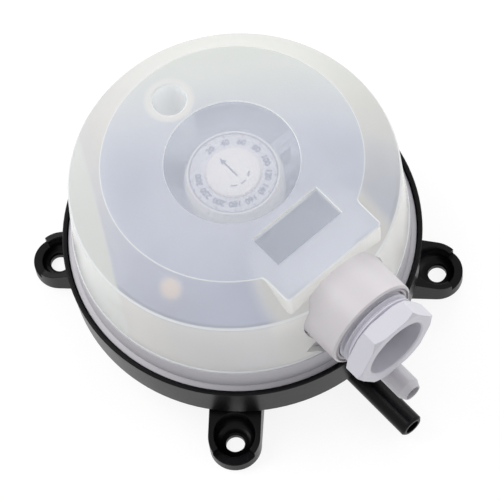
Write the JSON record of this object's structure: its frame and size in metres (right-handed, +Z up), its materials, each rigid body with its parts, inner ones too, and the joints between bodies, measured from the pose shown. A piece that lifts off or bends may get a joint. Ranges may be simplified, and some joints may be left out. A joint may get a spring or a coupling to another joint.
{
  "type": "differential pressure switch",
  "caption": "Round adjustable air pressure switch with two hose ports, a cable gland, screw ears and a translucent cover over its setting knob.",
  "frame": {"origin": "centre of the circle through the four ear holes, on the mounting face", "axes": "+Z up from the mounting face to the cover, -Y the way the ports and the cable gland point"},
  "size_m": [0.0862, 0.1031, 0.058],
  "materials": {
    "black_polycarbonate": "moulded, slightly glossy",
    "grey_polycarbonate": "moulded, satin",
    "clear_cover": "moulded translucent plastic, frosted with polished fields",
    "white_collar": "moulded, satin",
    "grey_gland": "moulded polyamide",
    "white_knob": "moulded, satin",
    "printed_scale": "printed disc",
    "silicone": "moulded silicone",
    "black_rubber": "moulded rubber",
    "bright_steel": "zinc plated",
    "sheet_aluminium": "rolled sheet",
    "terminal_brass": "turned and stamped brass",
    "cream_acetal": "moulded acetal",
    "red_button": "moulded"
  },
  "bodies": {
    "housing": {"lower_housing": "black_polycarbonate", "upper_housing": "grey_polycarbonate", "diaphragm": "silicone", "range_spring": "bright_steel", "tower_cap": "grey_polycarbonate", "tower_cap_screws": "bright_steel", "switch_body": "grey_polycarbonate", "switch_screws": "bright_steel", "terminal_block": "grey_polycarbonate", "terminal_clamps": "terminal_brass", "terminal_screws": "bright_steel", "earth_clamp": "terminal_brass", "earth_screw": "terminal_brass", "cover": "clear_cover", "cover_seal": "black_rubber", "cover_screw": "bright_steel", "gland_collar": "white_collar", "gland_seal": "black_rubber", "gland_washer": "cream_acetal", "housing_screws": "bright_steel"},
    "knob": {"setting_knob": "white_knob", "scale_disc": "printed_scale", "adjuster_screw": "terminal_brass"},
    "nut": {"spring_nut": "cream_acetal"},
    "piston": {"diaphragm_plate": "sheet_aluminium", "backing_washer": "sheet_aluminium", "stem": "bright_steel", "spring_cup": "cream_acetal"},
    "lever": {"switch_lever": "bright_steel"},
    "button": {"switch_plunger": "red_button"},
    "gland": {"gland_screw": "grey_gland"}
  },
  "joints": [
    {"name": "knob_turn", "type": "hinge", "parent": "housing", "child": "knob", "pos_m": [0, 0, 0.045], "axis": [0, 0, -1], "range_deg": [0, 300]},
    {"name": "nut_slide", "type": "slide", "parent": "housing", "child": "nut", "axis": [0, 0, -1], "range_m": [0, 0.005], "deforming": ["range_spring"]},
    {"name": "piston_slide", "type": "slide", "parent": "housing", "child": "piston", "axis": [0, 0, 1], "range_m": [0, 0.001], "stiffness_N_per_m": 400, "springref_m": -0.002, "deforming": ["diaphragm"]},
    {"name": "lever_pivot", "type": "hinge", "parent": "housing", "child": "lever", "pos_m": [0.0288, 0, 0.0273], "axis": [0, 1, 0], "range_deg": [0, 3]},
    {"name": "button_slide", "type": "slide", "parent": "housing", "child": "button", "axis": [0, 0, 1], "range_m": [0, 0.0006]},
    {"name": "gland_turn", "type": "hinge", "parent": "housing", "child": "gland", "pos_m": [0, -0.05, 0.0432], "axis": [0, -1, 0], "range_deg": [-120, 120]}
  ],
  "couplings": [
    {"joint": "knob_turn", "follows": "nut_slide", "rad_per_m": 1047.2},
    {"joint": "lever_pivot", "follows": "piston_slide", "rad_per_m": 42},
    {"joint": "button_slide", "follows": "piston_slide", "ratio": 0.42}
  ]
}
